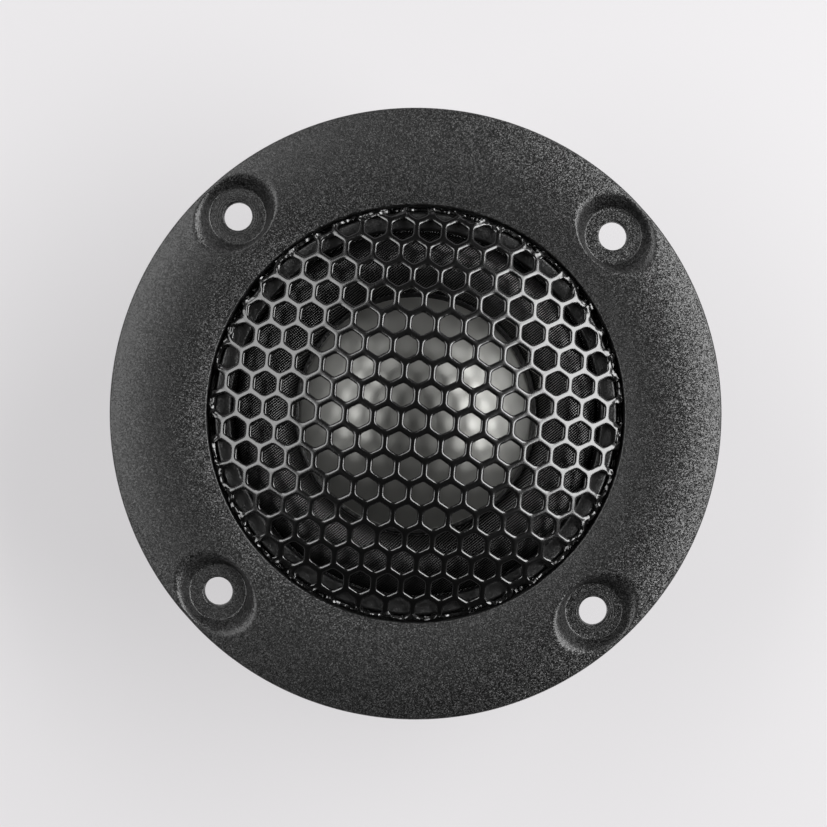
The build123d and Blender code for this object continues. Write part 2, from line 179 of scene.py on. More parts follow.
def finished(name, mesh, material, body, replaces, sharp):
    """The object for a mesh in metres, cleaned, shaded, riding on its body."""
    tidy = bmesh.new()
    tidy.from_mesh(mesh)
    bmesh.ops.remove_doubles(tidy, verts=tidy.verts, dist=1e-6)
    bmesh.ops.dissolve_degenerate(tidy, edges=tidy.edges, dist=1e-7)
    bmesh.ops.recalc_face_normals(tidy, faces=tidy.faces)
    tidy.to_mesh(mesh)
    tidy.free()
    mesh.polygons.foreach_set("use_smooth", np.ones(len(mesh.polygons), bool))
    mesh.set_sharp_from_angle(angle=math.radians(sharp))
    mesh.materials.append(material)
    piece = bpy.data.objects.new(name, mesh)
    bpy.context.scene.collection.objects.link(piece)
    if body:
        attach(piece, body)
    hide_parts(*replaces)
    return piece


def node_mesh(node):
    """The points, in millimetres, and the triangles of a CAD node."""
    mesh = frame["nodes"][node].data
    points = np.zeros(len(mesh.vertices) * 3)
    mesh.vertices.foreach_get("co", points)
    faces = np.zeros(len(mesh.loops), int)
    mesh.loops.foreach_get("vertex_index", faces)
    return points.reshape(-1, 3) / MM, faces.reshape(-1, 3)


def lathe(profile, steps=256):
    """A closed (radius, height) outline carried once round the Z axis."""
    profile = np.asarray(profile, float)
    turn = np.linspace(0, 2 * np.pi, steps, endpoint=False)
    radius, height = profile[:, 0][:, None], profile[:, 1][:, None]
    points = np.stack([radius * np.cos(turn), radius * np.sin(turn), height + 0 * turn], -1)
    return points, grid_faces(len(profile), steps, close_rows=True, close_columns=True)


def arc(centre, radius, start, end, count):
    """Points of a circular arc between two angles in degrees, in the (radius, height) plane."""
    angle = np.radians(np.linspace(start, end, count))
    return np.stack([centre[0] + radius * np.cos(angle), centre[1] + radius * np.sin(angle)], -1)


def smooth_low(a, b, width):
    """The lower of two heights, with the corner between them rounded over the width."""
    mix = np.clip(0.5 + 0.5 * (b - a) / width, 0, 1)
    return b + (a - b) * mix - width * mix * (1 - mix)


def crown(radius):
    """Height of the flange's crown: one large arc about the crest."""
    return CREST_HEIGHT - CROWN_ARC + np.sqrt(CROWN_ARC ** 2 - (radius - CREST_RADIUS) ** 2)


# ---------------------------------------------------------------- faceplate
def flange_height(x, y):
    """The crown, lowered near each hole to a flat round floor whose sloping wall opens to an oval mouth."""
    height = crown(np.hypot(x, y))
    for angle in MOUNT_ANGLES:
        turn = math.radians(angle)
        outward = x * math.cos(turn) + y * math.sin(turn) - MOUNT_CIRCLE
        sideways = y * math.cos(turn) - x * math.sin(turn)
        away = np.hypot(outward, sideways)
        direction = np.arctan2(sideways, outward)
        mouth = oval_reach(direction, MOUTH_OFFSET, MOUTH_RADIAL, MOUTH_SIDEWAYS)
        slope = (MOUTH_HEIGHT - RECESS_FLOOR) / (mouth - RECESS_RADIUS)
        wall = RECESS_FLOOR + slope * (away - RECESS_RADIUS)
        bowl = -smooth_low(-RECESS_FLOOR + 0 * away, -wall, FLOOR_CORNER)
        height = smooth_low(height, bowl, MOUTH_ROUND)
        edge = np.clip(1 - (away - MOUNT_HOLE) / HOLE_CHAMFER_WIDTH, 0, 1)
        height = height - HOLE_CHAMFER * edge ** 2
    return height


def oval_reach(direction, offset, radial, sideways):
    """Distance from the hole's axis to an oval whose centre sits a little further out."""
    c, s = np.cos(direction) / radial, np.sin(direction) / sideways
    a = c * c + s * s
    b = offset * c / radial
    return (b + np.sqrt(b * b - a * ((offset / radial) ** 2 - 1))) / a


HALF_SECTOR = math.radians(12.5)
ARC_STEPS = 40
RADIAL_STEPS = 26


def sector_boundary(angle, inner, outer):
    """Points round a sector about a hole: inner arc, radial side, outer arc, radial side."""
    sweep = np.linspace(-HALF_SECTOR, HALF_SECTOR, ARC_STEPS + 1) + math.radians(angle)
    reach = np.linspace(inner, outer, RADIAL_STEPS + 1)
    first, last = np.full(RADIAL_STEPS, sweep[0]), np.full(RADIAL_STEPS, sweep[-1])
    turns = np.concatenate([sweep[:-1], last, sweep[:0:-1], first])
    radii = np.concatenate([np.full(ARC_STEPS, inner), reach[:-1], np.full(ARC_STEPS, outer), reach[:0:-1]])
    return np.stack([radii * np.cos(turns), radii * np.sin(turns)], -1)


def hole_points(angle, low_radius, high_radius):
    """The hole's rim, with one point facing each boundary point of the front face."""
    turn = math.radians(angle)
    centre = MOUNT_CIRCLE * np.array([math.cos(turn), math.sin(turn)])
    facing = sector_boundary(angle, low_radius, high_radius) - centre
    return centre, facing / np.linalg.norm(facing, axis=1, keepdims=True)


def hole_patch(angle, inner, outer, front_inner, front_outer, distances):
    """A sector meshed from the hole's rim out to its boundary, closer together over the recess."""
    centre, facing = hole_points(angle, front_inner, front_outer)
    rim = centre + MOUNT_HOLE * facing
    boundary = sector_boundary(angle, inner, outer)
    reach = np.linalg.norm(boundary - rim, axis=1)
    span = distances[-1] - MOUNT_HOLE
    shrink = np.minimum(1, 0.96 * reach / span)[None, :]
    near = (distances - MOUNT_HOLE)[:, None] * shrink / reach
    share = np.concatenate([near, near[-1] + (1 - near[-1]) * np.linspace(0, 1, 9)[1:, None]])
    flat = rim + (boundary - rim) * share[..., None]
    return flat, grid_faces(flat.shape[0], flat.shape[1], close_columns=True)


def plain_patch(start, end, inner, outer):
    """The sector between two holes, as rings by rays."""
    turn = np.linspace(start, end, 73)[None, :]
    reach = np.linspace(inner, outer, RADIAL_STEPS + 1)[:, None]
    flat = np.stack([reach * np.cos(turn), reach * np.sin(turn)], -1)
    return flat, grid_faces(flat.shape[0], flat.shape[1])


def flange_turns():
    """The angles of the mesh's rays at the flange's edges, all the way round."""
    turns = []
    for angle in MOUNT_ANGLES:
        middle = math.radians(angle)
        turns.append(np.linspace(middle - HALF_SECTOR, middle + HALF_SECTOR, ARC_STEPS + 1)[:-1])
        plain = np.linspace(middle + HALF_SECTOR, middle + math.pi / 2 - HALF_SECTOR, 73)
        turns.append(plain[:-1])
    return np.concatenate(turns)


def faceplate_mesh():
    """Front and back faces meshed round the holes, joined by the rounded edge, the spigot and the bore."""
    front = (APERTURE_RADIUS + APERTURE_ROUND, FLANGE_RADIUS - EDGE_ROUND)
    back = (SPIGOT_RADIUS, FLANGE_RADIUS - EDGE_CHAMFER)
    recess = np.concatenate([[MOUNT_HOLE, MOUNT_HOLE + 0.04, MOUNT_HOLE + 0.08, MOUNT_HOLE + 0.13],
                             np.linspace(2.1, 2.9, 4), np.linspace(3.0, 6.0, 34)])
    parts = []
    for angle in MOUNT_ANGLES:
        flat, faces = hole_patch(angle, *front, *front, recess)
        height = flange_height(flat[..., 0], flat[..., 1])
        parts.append((np.concatenate([flat, height[..., None]], -1), faces))
        under, under_faces = hole_patch(angle, *back, *front, np.linspace(MOUNT_HOLE, 2.6, 3))
        parts.append((np.concatenate([under, 0 * under[..., :1]], -1), under_faces))
        wall = np.stack([np.concatenate([flat[0], height[0][:, None]], -1),
                         np.concatenate([under[0], 0 * under[0][:, :1]], -1)])
        parts.append((wall, grid_faces(2, wall.shape[1], close_columns=True)))
        start = math.radians(angle) + HALF_SECTOR
        end = math.radians(angle) + math.pi / 2 - HALF_SECTOR
        for limits, on_front in ((front, True), (back, False)):
            flat, faces = plain_patch(start, end, *limits)
            height = flange_height(flat[..., 0], flat[..., 1]) if on_front else 0 * flat[..., 0]
            parts.append((np.concatenate([flat, height[..., None]], -1), faces))
    turn = flange_turns()[None, :]
    parts.append(rim_strip(turn, front[1]))
    parts.append(bore_strip(turn, front[0]))
    return joined(parts)


def rim_strip(turn, start):
    """From the front face over a quarter round, down the edge and over a small chamfer to the back."""
    top = flange_height(start * np.cos(turn), start * np.sin(turn))
    bend = np.radians(np.linspace(0, 90, 9))[:, None]
    corners = [[FLANGE_RADIUS], [FLANGE_RADIUS - EDGE_CHAMFER]]
    radius = np.concatenate([start + EDGE_ROUND * np.sin(bend), corners])
    height = np.concatenate([top - EDGE_ROUND * (1 - np.cos(bend)), 0 * turn + EDGE_CHAMFER, 0 * turn])
    points = np.stack([radius * np.cos(turn), radius * np.sin(turn), height], -1)
    return points, grid_faces(len(radius), turn.shape[1], close_columns=True)


def bore_strip(turn, start):
    """From the front face over a quarter round into the bore, the ledge, the pocket and the spigot."""
    top = flange_height(start * np.cos(turn), start * np.sin(turn))
    bend = np.radians(np.linspace(0, 90, 9))[:, None]
    corners = [(APERTURE_RADIUS, LEDGE_HEIGHT), (POCKET_RADIUS, LEDGE_HEIGHT), (POCKET_RADIUS, SPIGOT_FOOT),
               (SPIGOT_RADIUS - SPIGOT_CHAMFER, SPIGOT_FOOT), (SPIGOT_RADIUS, SPIGOT_FOOT + SPIGOT_CHAMFER),
               (SPIGOT_RADIUS, 0)]
    radius = np.concatenate([start - APERTURE_ROUND * np.sin(bend), [[r] for r, _ in corners]])
    height = np.concatenate([top - APERTURE_ROUND * (1 - np.cos(bend))] + [0 * turn + z for _, z in corners])
    points = np.stack([radius * np.cos(turn), radius * np.sin(turn), height], -1)
    return points, grid_faces(len(radius), turn.shape[1], close_columns=True)


# ---------------------------------------------------------------- guard
def guard_profile(reach):
    """Where a distance along the flat sheet lands: on the dome, then round the bend, then down the skirt.

    Returns radius, height and the slope of the surface's normal from the Z axis."""
    centre = GUARD_APEX - GUARD_DOME
    dome_end = (GUARD_SKIRT - GUARD_BEND) / (1 - GUARD_BEND / GUARD_DOME)
    flat_end = dome_end / (1 - DRAW_IN)
    dome_radius = reach * (1 - DRAW_IN * (np.minimum(reach, flat_end) / flat_end) ** 2)
    dome_radius = np.minimum(dome_radius, dome_end)
    dome_tilt = np.arcsin(dome_radius / GUARD_DOME)
    end_tilt = math.asin(dome_end / GUARD_DOME)
    past = np.maximum(reach - flat_end, 0)
    bend_length = GUARD_BEND * (math.pi / 2 - end_tilt)
    tilt = np.where(past > 0, end_tilt + np.minimum(past, bend_length) / GUARD_BEND, dome_tilt)
    bend_radius = dome_end - GUARD_BEND * math.sin(end_tilt)
    bend_height = centre + GUARD_DOME * math.cos(end_tilt) - GUARD_BEND * math.cos(end_tilt)
    radius = np.where(past > 0, bend_radius + GUARD_BEND * np.sin(tilt), dome_radius)
    on_dome = centre + GUARD_DOME * np.cos(dome_tilt)
    height = np.where(past > 0, bend_height + GUARD_BEND * np.cos(tilt), on_dome)
    height = height - np.maximum(past - bend_length, 0)
    sheet_end = flat_end + bend_length + bend_height - GUARD_FOOT
    return radius, height, tilt, sheet_end


def rounded_hexagon(turn, flats, corner):
    """Distance to a hexagon's edge by direction, its corners rounded, with points at 30, 90, 150 degrees."""
    from_flat = (turn + math.pi / 6) % (math.pi / 3) - math.pi / 6
    from_point = turn % (math.pi / 3) - math.pi / 6
    side = flats / np.cos(from_flat)
    offset = (flats - corner) / math.cos(math.pi / 6)
    inside = np.maximum(corner ** 2 - (offset * np.sin(from_point)) ** 2, 0)
    round_end = offset * np.cos(from_point) + np.sqrt(inside)
    corner_reach = math.atan2(corner / 2, offset * math.cos(math.pi / 6) + corner)
    return np.where(np.abs(from_point) < corner_reach, round_end, side)


def guard_mesh():
    """One cell of the sheet is a grid from mid-bar, over the hole's rolled rim, through the wall and back
    to mid-bar underneath. It is repeated over a hexagonal lattice, and the flat sheet is then formed."""
    per_side = 6
    count = 6 * per_side
    cell_half = HOLE_PITCH / 2
    corner_turn = np.arange(7) * math.pi / 3 - math.pi / 6
    corners = np.stack([np.cos(corner_turn), np.sin(corner_turn)], -1) * cell_half / math.cos(math.pi / 6)
    share = np.arange(per_side)[None, :, None] / per_side
    border = (corners[:-1, None] * (1 - share) + corners[1:, None] * share).reshape(count, 2)
    turn = np.arctan2(border[:, 1], border[:, 0])
    half = HOLE_FLATS / 2
    rolled = np.radians([0, 22, 45, 68, 90])
    layers = [(half + RIM_WIDTH * (1 - math.sin(a)), -RIM_DROP * (1 - math.cos(a))) for a in rolled]
    layers += [(half, -GUARD_SHEET + 0.1), (half + 0.03, -GUARD_SHEET + 0.03), (half + 0.1, -GUARD_SHEET)]
    rings = [np.concatenate([border, np.zeros((count, 1))], 1)]
    for flats, depth in layers:
        reach = rounded_hexagon(turn, flats, HOLE_CORNER + flats - half)
        rings.append(np.stack([reach * np.cos(turn), reach * np.sin(turn), 0 * turn + depth], -1))
    rings.append(np.concatenate([border, np.full((count, 1), -GUARD_SHEET)], 1))
    cell = np.stack(rings)

    sheet_end = guard_profile(np.zeros(1))[3]
    last = sheet_end - CUT_BAND
    span = int(last / (cell_half * math.sqrt(3))) + 3
    row, column = np.meshgrid(np.arange(-span, span + 1), np.arange(-span, span + 1), indexing="ij")
    centres = np.stack([(column + 0.5 * (row % 2)) * HOLE_PITCH, row * HOLE_PITCH * math.sqrt(3) / 2], -1)
    centres = centres.reshape(-1, 2) + np.array(PATTERN_SHIFT)
    centres = centres[np.hypot(*centres.T) < last + 2.2]
    flat = cell[None] + np.concatenate([centres, np.zeros((len(centres), 1))], 1)[:, None, None, :]
    cell_faces = grid_faces(len(cell), count, close_columns=True)
    faces = (cell_faces[None] + (np.arange(len(centres)) * len(cell) * count)[:, None, None]).reshape(-1, 4)

    flat = flat.reshape(-1, 3)
    reach = np.hypot(flat[:, 0], flat[:, 1])
    over = np.maximum(reach - last, 0)
    pressed = np.where(over > 0, last + CUT_BAND * (1 - np.exp(-over / CUT_BAND)), reach)
    direction = np.arctan2(flat[:, 1], flat[:, 0]) + PATTERN_TURN
    radius, height, tilt, _ = guard_profile(pressed)
    near_rim = np.clip((reach - CRUMPLE_START) / CRUMPLE_SPREAD, 0, 1)
    sideways = np.sin(flat[:, 0] * 5.1 + flat[:, 1] * 2.3) + np.sin(flat[:, 1] * 6.7 - flat[:, 0] * 3.9)
    upward = np.sin(flat[:, 0] * 4.3 - flat[:, 1] * 6.1) + np.sin(flat[:, 1] * 3.1 + flat[:, 0] * 7.3)
    direction = direction + near_rim * sideways * CRUMPLE_SIDEWAYS / GUARD_SKIRT
    height = height + near_rim * upward * CRUMPLE_UP
    radius = radius + flat[:, 2] * np.sin(tilt)
    height = height + flat[:, 2] * np.cos(tilt)
    return np.stack([radius * np.cos(direction), radius * np.sin(direction), height], -1), faces


def close_rims(piece):
    """Joins the front and back edges of a sheet where they are still open, pair by pair."""
    mesh = bmesh.new()
    mesh.from_mesh(piece.data)
    open_edges = [edge for edge in mesh.edges if edge.is_boundary]
    bmesh.ops.bridge_loops(mesh, edges=open_edges)
    bmesh.ops.recalc_face_normals(mesh, faces=mesh.faces)
    mesh.to_mesh(piece.data)
    mesh.free()


# ---------------------------------------------------------------- diaphragm and rings
def dome_profile():
    """Spherical cap with a flat rim, and the same cap inset by the foil's thickness."""
    radius = (DOME_EDGE ** 2 + DOME_HEIGHT ** 2) / (2 * DOME_HEIGHT)
    centre = DOME_HEIGHT - radius
    outer = np.linspace(0, math.asin(DOME_EDGE / radius), 49)
    inner_radius = radius - DOME_WALL
    inner = np.linspace(math.acos((-DOME_WALL - centre) / inner_radius), 0, 49)
    top = np.stack([radius * np.sin(outer), centre + radius * np.cos(outer)], -1)
    under = np.stack([inner_radius * np.sin(inner), centre + inner_radius * np.cos(inner)], -1)
    return np.concatenate([top, [[DOME_RIM, 0], [DOME_RIM, -DOME_WALL]], under])


def surround_profile():
    """Flat inner edge, a half-roll whose two feet turn up smoothly, and the flange under the clamp ring."""
    middle = (ROLL_INNER + ROLL_OUTER) / 2
    half = (ROLL_OUTER - ROLL_INNER) / 2
    across = np.linspace(-1, 1, 61)
    rise = (1 - across ** 2) ** 0.72
    top = np.stack([middle + half * across, CLOTH + (ROLL_HEIGHT - CLOTH) * rise], -1)
    slope = np.gradient(top[:, 1], top[:, 0])
    normal = np.stack([-slope, np.ones_like(slope)], -1) / np.hypot(slope, 1)[:, None]
    under = (top - CLOTH * normal)[::-1]
    under[:, 1] = np.maximum(under[:, 1], 0)
    edge = DOME_EDGE + 0.1
    last = high("surround")[0]
    return np.concatenate([[[edge, 0], [edge, CLOTH]], top, [[last, CLOTH], [last, 0]], under])


def bead_profile():
    """A low rounded bead."""
    return np.concatenate([[[13.95, CLOTH - 0.02], [13.9, CLOTH + 0.06]], arc((14.2, CLOTH), 0.2, 150, 20, 9),
                           [[14.42, CLOTH - 0.02]]])


def clamp_profile():
    """Rounded lip over a flat flange."""
    lip_top = high("surround_clamp_ring")[2]
    outer = high("surround_clamp_ring")[0]
    inner_top = lip_top - 0.25
    return np.concatenate([
        [[CLAMP_INNER, CLOTH], [outer, CLOTH], [outer, LEDGE_HEIGHT], [CLAMP_LIP, LEDGE_HEIGHT]],
        arc((CLAMP_LIP - 0.3, lip_top - 0.3), 0.3, 0, 80, 8),
        arc((CLAMP_INNER + 0.35, inner_top - 0.35), 0.35, 100, 180, 9),
    ])


def felted_disc(inner, outer, base, top, fuzz, seed):
    """A soft ring or disc lathed from a rounded outline, then pushed in along its radius and down from
    its top by smooth random ripples, so that its faces bow and its edges wander."""
    edge = min(0.6, (top - base) / 3)
    outline = [arc((outer - edge, base + edge), edge, -90, 0, 6),
               arc((outer - edge, top - edge), edge, 0, 90, 6)]
    flat = np.linspace(outer - edge, inner + edge, 24)[1:-1]
    upper = np.stack([flat, np.full_like(flat, top)], -1)
    if inner:
        outline += [upper, arc((inner + edge, top - edge), edge, 90, 180, 6),
                    arc((inner + edge, base + edge), edge, 180, 270, 6), upper[::-1] * (1, 0) + (0, base)]
    else:
        outline += [upper, [[0, top], [0, base]], upper[::-1] * (1, 0) + (0, base)]
    points, faces = lathe(np.concatenate(outline), 192)
    random = np.random.default_rng(seed)
    turn = np.arctan2(points[..., 1], points[..., 0])
    reach = np.hypot(points[..., 0], points[..., 1])
    ripple = np.zeros_like(reach)
    for _ in range(12):
        waves, along, phase = random.integers(2, 30), random.uniform(0.3, 2.5), random.uniform(0, 2 * np.pi)
        ripple += np.sin(waves * turn + along * reach + phase) / 12
    dip = fuzz * (0.5 + 0.5 * np.clip(2 * ripple, -1, 1))
    points = points * np.stack([1 - dip / outer, 1 - dip / outer, np.ones_like(dip)], -1)
    share = (points[..., 2] - base) / (top - base)
    points[..., 2] = points[..., 2] - dip * share
    return points, faces


def gasket_mesh():
    """A foam strip: a pillowed section carried round the chamber's outline, a circle with one flat side."""
    lowest, highest = low("chamber_gasket"), high("chamber_gasket")
    flat, radius = -lowest[1], highest[0]
    half = math.asin(flat / radius)
    curved = np.linspace(-half, math.pi + half, 181)
    start, end = radius * np.cos(curved[0]), radius * np.cos(curved[-1])
    straight = np.linspace(end, start, 34)[1:-1]
    outer = np.concatenate([np.stack([radius * np.cos(curved), radius * np.sin(curved)], -1),
                            np.stack([straight, np.full_like(straight, -flat)], -1)])
    inner = outer * (1 - CHAMBER_WALL / radius)
    thick = highest[2] - lowest[2]
    rows = [(0.08, 0), (0.0, 0.5), (0.08, 1), (0.5, 0.96), (0.92, 1), (1.0, 0.5), (0.92, 0), (0.5, 0.04)]
    section = [np.concatenate([outer + (inner - outer) * across,
                               np.full((len(outer), 1), lowest[2] + thick * up)], 1) for across, up in rows]
    return np.stack(section), grid_faces(len(rows), len(outer), close_rows=True, close_columns=True)


def lead_mesh(node):
    """A round tinsel lead swept along one smooth cubic (Bernstein) curve, from the coil former to its
    solder tag, on the side where its node is."""
    points, _ = node_mesh(node)
    side = np.sign(points[:, 0].mean())
    angle = math.radians(270 + side * LEAD_ANGLE)
    along = np.array([math.cos(angle), math.sin(angle)])
    control = np.array([[DOME_EDGE + 0.15, -0.6], [16.6, -0.2], [18.8, -1.25], [22.65, -1.0]])
    t = np.linspace(0, 1, 41)[:, None]
    blend = [(1 - t) ** 3, 3 * t * (1 - t) ** 2, 3 * t ** 2 * (1 - t), t ** 3]
    line = sum(weight * point for weight, point in zip(blend, control))
    slope = np.gradient(line, axis=0)
    slope = slope / np.linalg.norm(slope, axis=1, keepdims=True)
    turn = np.linspace(0, 2 * np.pi, 12, endpoint=False)
    out = line[:, None, 0] - LEAD_RADIUS * np.cos(turn) * slope[:, 1:]
    up = line[:, None, 1] + LEAD_RADIUS * np.cos(turn) * slope[:, :1]
    across = np.array([-along[1], along[0]])
    flat = out[..., None] * along + (LEAD_RADIUS * np.sin(turn))[None, :, None] * across
    points = np.concatenate([flat, up[..., None]], -1)
    middle = np.concatenate([line[:, :1] * along, line[:, 1:]], 1)[:, None] * np.ones((1, 12, 1))
    points = np.concatenate([middle[:1], points, middle[-1:]])
    return points, grid_faces(len(points), 12, close_columns=True)


# ---------------------------------------------------------------- finishes
def linear(colour):
    """An sRGB hex colour such as "#1a2b3c" as linear RGBA."""
    parts = np.array([int(colour[i:i + 2], 16) / 255 for i in (1, 3, 5)])
    shade = np.where(parts <= 0.04045, parts / 12.92, ((parts + 0.055) / 1.055) ** 2.4)
    return (*shade.tolist(), 1.0)


def add(tree, kind, links=None, **settings):
    """Adds a node, sets its settings, and gives each named input a value or another node's output."""
    node = tree.nodes.new(kind)
    for name, value in settings.items():
        setattr(node, name, value)
    for name, value in (links or {}).items():
        if isinstance(value, bpy.types.NodeSocket):
            tree.links.new(value, node.inputs[name])
        else:
            node.inputs[name].default_value = value
    return node


def surface(name, colour, roughness, metallic=0.0, **inputs):
    """A named material with one Principled shader; returns the material, its tree and the shader."""
    material = bpy.data.materials.new(name)
    material.use_nodes = True
    tree = material.node_tree
    shader = tree.nodes["Principled BSDF"]
    shader.inputs["Base Color"].default_value = linear(colour)
    shader.inputs["Roughness"].default_value = roughness
    shader.inputs["Metallic"].default_value = metallic
    for socket, value in inputs.items():
        shader.inputs[socket.replace("_", " ")].default_value = value
    return material, tree, shader


def faceted(tree, place, size, tilt, base=None):
    """A normal that leans a random way in every grain of the given size, about a base normal if given."""
    grains = add(tree, "ShaderNodeTexVoronoi", {"Vector": place, "Scale": 1 / size}).outputs["Color"]
    centred = add(tree, "ShaderNodeVectorMath", {0: grains, 1: (0.5, 0.5, 0.5)}, operation="SUBTRACT")
    lean = add(tree, "ShaderNodeVectorMath", {0: centred.outputs["Vector"], "Scale": tilt}, operation="SCALE")
    upright = base or add(tree, "ShaderNodeNewGeometry").outputs["Normal"]
    total = add(tree, "ShaderNodeVectorMath", {0: upright, 1: lean.outputs["Vector"]}, operation="ADD")
    unit = add(tree, "ShaderNodeVectorMath", {0: total.outputs["Vector"]}, operation="NORMALIZE")
    return unit.outputs["Vector"]


def grain_tone_with_painted_glints(tree, place, size, dark, pale, socket):
    """Gives every grain its own shade between two colours: random grain tone, whose few pale grains stand in
    for glints as painted glints.
    """
    grains = add(tree, "ShaderNodeTexVoronoi", {"Vector": place, "Scale": 1 / size}).outputs["Color"]
    one = add(tree, "ShaderNodeSeparateColor", {"Color": grains}).outputs["Red"]
    curve = add(tree, "ShaderNodeMath", {0: one, 1: 3.0}, operation="POWER").outputs["Value"]
    mix = add(tree, "ShaderNodeMix", {"Factor": curve}, data_type="RGBA")
    for name, shade in (("A_Color", dark), ("B_Color", pale)):
        next(slot for slot in mix.inputs if slot.identifier == name).default_value = linear(shade)
    tree.links.new([output for output in mix.outputs if output.type == "RGBA"][0], socket)


def blasted_black():
    """Blasted, black-anodised aluminium: near black, broken into fine grains that glint toward the lights,
    with pale specks painted into the colour as painted glints.
    """
    name = "blasted_black_anodised_aluminium"
    material, tree, shader = surface(name, "#0c0c0c", 0.36, Specular_IOR_Level=0.5)
    place = add(tree, "ShaderNodeTexCoord").outputs["Object"]
    rubbed, rings = rubbed_floors(tree, place)
    tilt = add(tree, "ShaderNodeMapRange", {"Value": rubbed, "To Min": 0.36, "To Max": 0.12})
    grain = 0.1 * MM
    normal = faceted(tree, place, grain, tilt.outputs["Result"], rings)
    tree.links.new(normal, shader.inputs["Normal"])
    # Random grain tone whose sparse pale specks are painted glints, bright under any light.
    grain_tone_with_painted_glints(tree, place, grain, "#010101", "#3e3e3e", shader.inputs["Base Color"])
    return material


def rubbed_floors(tree, place):
    """Where screw heads turned on two of the recess floors: how rubbed each point is, and a normal with
    fine rings there. Rings are a sine of the distance from the hole's axis."""
    flat = add(tree, "ShaderNodeVectorMath", {0: place, 1: (1, 1, 0)}, operation="MULTIPLY").outputs["Vector"]
    away = []
    for angle in (135, 315):
        turn = math.radians(angle)
        axis = (MOUNT_CIRCLE * MM * math.cos(turn), MOUNT_CIRCLE * MM * math.sin(turn), 0)
        distance = add(tree, "ShaderNodeVectorMath", {0: flat, 1: axis}, operation="DISTANCE")
        away.append(distance.outputs["Value"])
    nearest = add(tree, "ShaderNodeMath", {0: away[0], 1: away[1]}, operation="MINIMUM").outputs["Value"]
    rubbed = add(tree, "ShaderNodeMapRange", {"Value": nearest, "From Min": 2.6 * MM, "From Max": 2.45 * MM})
    rubbed = rubbed.outputs["Result"]
    phase = add(tree, "ShaderNodeMath", {0: nearest, 1: 2 * math.pi / (0.25 * MM)}, operation="MULTIPLY")
    wave = add(tree, "ShaderNodeMath", {0: phase.outputs["Value"]}, operation="SINE").outputs["Value"]
    height = add(tree, "ShaderNodeMath", {0: wave, 1: rubbed}, operation="MULTIPLY").outputs["Value"]
    bump = add(tree, "ShaderNodeBump", {"Height": height, "Strength": 0.6, "Distance": 0.01 * MM})
    return rubbed, bump.outputs["Normal"]


def painted_steel():
    """Semi-gloss black paint on punched steel: deep black with crisp highlights along the rolled rims."""
    name = "semi_gloss_black_paint_on_steel"
    material, tree, shader = surface(name, "#070707", 0.21, Specular_IOR_Level=0.8)
    place = add(tree, "ShaderNodeTexCoord").outputs["Object"]
    flow = add(tree, "ShaderNodeTexNoise", {"Vector": place, "Scale": 1 / (1.2 * MM), "Detail": 3.0})
    bump = add(tree, "ShaderNodeBump", {"Height": flow.outputs["Fac"], "Strength": 0.35,
                                        "Distance": 0.02 * MM})
    tree.links.new(bump.outputs["Normal"], shader.inputs["Normal"])
    return material


def satin_abs():
    """Moulded ABS from a spark-eroded tool: charcoal with a fine dull grain."""
    material, tree, shader = surface("fine_grained_moulded_abs", "#0d0d0d", 0.38, Specular_IOR_Level=0.6)
    place = add(tree, "ShaderNodeTexCoord").outputs["Object"]
    tree.links.new(faceted(tree, place, 0.1 * MM, 0.3), shader.inputs["Normal"])
    return material


def dome_metal():
    """Satin rolled aluminium foil, drawn into a dome: soft grey with faint cloudy drawing marks."""
    material, tree, shader = surface("satin_drawn_aluminium", "#82827f", 0.42, metallic=0.85)
    place = add(tree, "ShaderNodeTexCoord").outputs["Object"]
    cloud = add(tree, "ShaderNodeTexNoise", {"Vector": place, "Scale": 1 / (2.4 * MM), "Detail": 4.0})
    rough = add(tree, "ShaderNodeMapRange", {"Value": cloud.outputs["Fac"], "To Min": 0.36, "To Max": 0.48})
    tree.links.new(rough.outputs["Result"], shader.inputs["Roughness"])
    return material


def woven_cloth():
    """Black coated twill: one set of fine ridges catches the light, a weaker set crosses it. The base colour
    paints the ridge crests paler and the valleys near black: a painted highlight on the threads and painted
    shade between them.
    """
    thread = 0.25 * MM
    material, tree, shader = surface("coated_black_twill", "#030303", 0.26)
    place = add(tree, "ShaderNodeTexCoord").outputs["Object"]
    ridges = []
    for angle in (41, 131):
        rotation = (0, 0, math.radians(-angle - 90))
        turned = add(tree, "ShaderNodeMapping", {"Vector": place, "Rotation": rotation}).outputs["Vector"]
        wave = add(tree, "ShaderNodeTexWave", {"Vector": turned, "Scale": math.pi / 10 / thread})
        ridges.append(wave.outputs["Fac"])
    cross = add(tree, "ShaderNodeMath", {0: ridges[1], 1: 0.4}, operation="MULTIPLY")
    total = add(tree, "ShaderNodeMath", {0: cross.outputs["Value"], 1: ridges[0]}, operation="ADD")
    bump = add(tree, "ShaderNodeBump", {"Height": total.outputs["Value"], "Strength": 1.0,
                                        "Distance": 0.03 * MM})
    tree.links.new(bump.outputs["Normal"], shader.inputs["Normal"])
    gloss = add(tree, "ShaderNodeMapRange", {"Value": total.outputs["Value"],
                                             "From Min": 0.5, "From Max": 1.2, "To Min": 0.0, "To Max": 1.0})
    tree.links.new(gloss.outputs["Result"], shader.inputs["Specular IOR Level"])
    # Painted highlight and shade: ridge crests paler, valleys between threads near black, under any light.
    painted_thread_highlight_and_shade = add(tree, "ShaderNodeValToRGB", {"Fac": total.outputs["Value"]})
    stops = ((0.7, "#010101"), (1.0, "#202020"))
    for element, (position, shade) in zip(painted_thread_highlight_and_shade.color_ramp.elements, stops):
        element.position = position
        element.color = linear(shade)
    tree.links.new(painted_thread_highlight_and_shade.outputs["Color"], shader.inputs["Base Color"])
    return material


